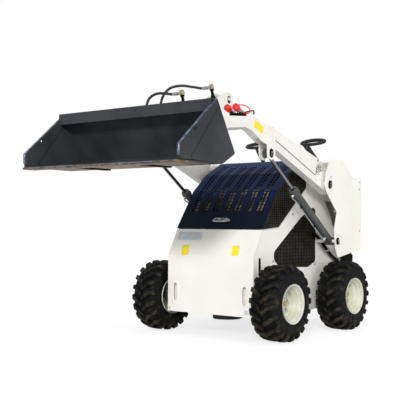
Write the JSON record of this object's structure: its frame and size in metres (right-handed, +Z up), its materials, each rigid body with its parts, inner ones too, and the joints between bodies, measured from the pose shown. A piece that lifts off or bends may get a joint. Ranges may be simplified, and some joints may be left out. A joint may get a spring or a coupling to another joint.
{
  "type": "wheeled mini skid steer loader",
  "caption": "Wheeled mini skid steer loader: bucket on lift arms hinged at rear towers, perforated hood, stand-on platform, rubber lugged wheels.",
  "frame": {"origin": "on the ground, in the middle of the overall length and width", "axes": "+Z up, +X to the machine's left, -Y forward to the bucket, +Y back to the standing platform"},
  "size_m": [1.273, 2.625, 1.7463],
  "materials": {
    "white_paint": "gloss",
    "navy_paint": "gloss",
    "black_paint": "satin",
    "charcoal_paint": "satin",
    "tyre_rubber": "matte",
    "bare_steel": "polished",
    "cast_iron": "matte",
    "red_plastic": "gloss",
    "lamp_lens": "gloss",
    "hose_rubber": "satin"
  },
  "bodies": {
    "chassis": {"chassis": "black_paint", "engine_block": "cast_iron", "front_plate": "white_paint", "side_panel_left": "white_paint", "side_panel_right": "white_paint", "side_grille_left": "black_paint", "side_grille_right": "black_paint", "rear_panel": "white_paint", "console": "white_paint", "dash_panel": "black_paint", "lever_left": "black_paint", "lever_right": "black_paint", "tower_left": "white_paint", "tower_right": "white_paint", "platform": "black_paint", "wheel_motor_front_left": "cast_iron", "wheel_motor_front_right": "cast_iron", "wheel_motor_rear_left": "cast_iron", "wheel_motor_rear_right": "cast_iron"},
    "arms": {"arm_left": "white_paint", "arm_right": "white_paint", "hose_cover_left": "white_paint", "hose_cover_right": "white_paint", "crossmember": "white_paint", "couplers": "red_plastic", "tilt_hose_front": "hose_rubber", "tilt_hose_rear": "hose_rubber"},
    "bucket": {"bucket": "charcoal_paint", "quick_attach": "charcoal_paint", "cutting_edge": "charcoal_paint"},
    "hood": {"hood": "navy_paint", "hood_lamp": "lamp_lens"},
    "tilt_barrel": {"tilt_barrel": "charcoal_paint"},
    "tilt_rod": {"tilt_rod": "bare_steel"},
    "lift_barrel_left": {"lift_left_barrel": "charcoal_paint"},
    "lift_rod_left": {"lift_left_rod": "bare_steel"},
    "wheel_front_left": {"tyre_front_left": "tyre_rubber", "rim_front_left": "white_paint"},
    "wheel_rear_left": {"tyre_rear_left": "tyre_rubber", "rim_rear_left": "white_paint"},
    "lift_barrel_right": {"lift_right_barrel": "charcoal_paint"},
    "lift_rod_right": {"lift_right_rod": "bare_steel"},
    "wheel_front_right": {"tyre_front_right": "tyre_rubber", "rim_front_right": "white_paint"},
    "wheel_rear_right": {"tyre_rear_right": "tyre_rubber", "rim_rear_right": "white_paint"}
  },
  "joints": [
    {"name": "lift", "type": "hinge", "parent": "chassis", "child": "arms", "pos_m": [0, 0.5235, 1.063], "axis": [-1, 0, 0], "range_deg": [-51.5, 35]},
    {"name": "tilt", "type": "hinge", "parent": "arms", "child": "bucket", "pos_m": [0, -0.7915, 1.314], "axis": [-1, 0, 0], "range_deg": [-40, 75]},
    {"name": "hood_hinge", "type": "hinge", "parent": "chassis", "child": "hood", "pos_m": [0, 0.5345, 1.238], "axis": [-1, 0, 0], "range_deg": [0, 45]},
    {"name": "tilt_barrel_pivot", "type": "hinge", "parent": "arms", "child": "tilt_barrel", "pos_m": [0, -0.0475, 1.652], "axis": [-1, 0, 0], "range_deg": [-5.45, 3]},
    {"name": "tilt_stroke", "type": "slide", "parent": "tilt_barrel", "child": "tilt_rod", "axis": [0, -0.9698, -0.2437], "range_m": [-0.1494, 0.0802]},
    {"name": "lift_barrel_pivot_left", "type": "hinge", "parent": "chassis", "child": "lift_barrel_left", "pos_m": [0.475, 0.6375, 0.655], "axis": [-1, 0, 0], "range_deg": [-35.94, 24.49]},
    {"name": "lift_stroke_left", "type": "slide", "parent": "lift_barrel_left", "child": "lift_rod_left", "axis": [0, -0.8179, 0.5754], "range_m": [-0.2644, 0.18]},
    {"name": "wheel_front_left_spin", "type": "hinge", "parent": "chassis", "child": "wheel_front_left", "pos_m": [0.51, -0.0755, 0.254], "axis": [1, 0, 0], "continuous": true},
    {"name": "wheel_rear_left_spin", "type": "hinge", "parent": "chassis", "child": "wheel_rear_left", "pos_m": [0.51, 0.7745, 0.254], "axis": [1, 0, 0], "continuous": true},
    {"name": "lift_barrel_pivot_right", "type": "hinge", "parent": "chassis", "child": "lift_barrel_right", "pos_m": [-0.475, 0.6375, 0.655], "axis": [-1, 0, 0], "range_deg": [-35.94, 24.49]},
    {"name": "lift_stroke_right", "type": "slide", "parent": "lift_barrel_right", "child": "lift_rod_right", "axis": [0, -0.8179, 0.5754], "range_m": [-0.2644, 0.18]},
    {"name": "wheel_front_right_spin", "type": "hinge", "parent": "chassis", "child": "wheel_front_right", "pos_m": [-0.51, -0.0755, 0.254], "axis": [1, 0, 0], "continuous": true},
    {"name": "wheel_rear_right_spin", "type": "hinge", "parent": "chassis", "child": "wheel_rear_right", "pos_m": [-0.51, 0.7745, 0.254], "axis": [1, 0, 0], "continuous": true}
  ],
  "couplings": [
    {"joint": "tilt_barrel_pivot", "follows": "tilt", "ratio": -0.07},
    {"joint": "tilt_stroke", "follows": "tilt", "m_per_rad": -0.1134},
    {"joint": "lift_barrel_pivot_left", "follows": "lift", "ratio": 0.694},
    {"joint": "lift_stroke_left", "follows": "lift", "m_per_rad": 0.293},
    {"joint": "lift_barrel_pivot_right", "follows": "lift", "ratio": 0.694},
    {"joint": "lift_stroke_right", "follows": "lift", "m_per_rad": 0.293}
  ]
}
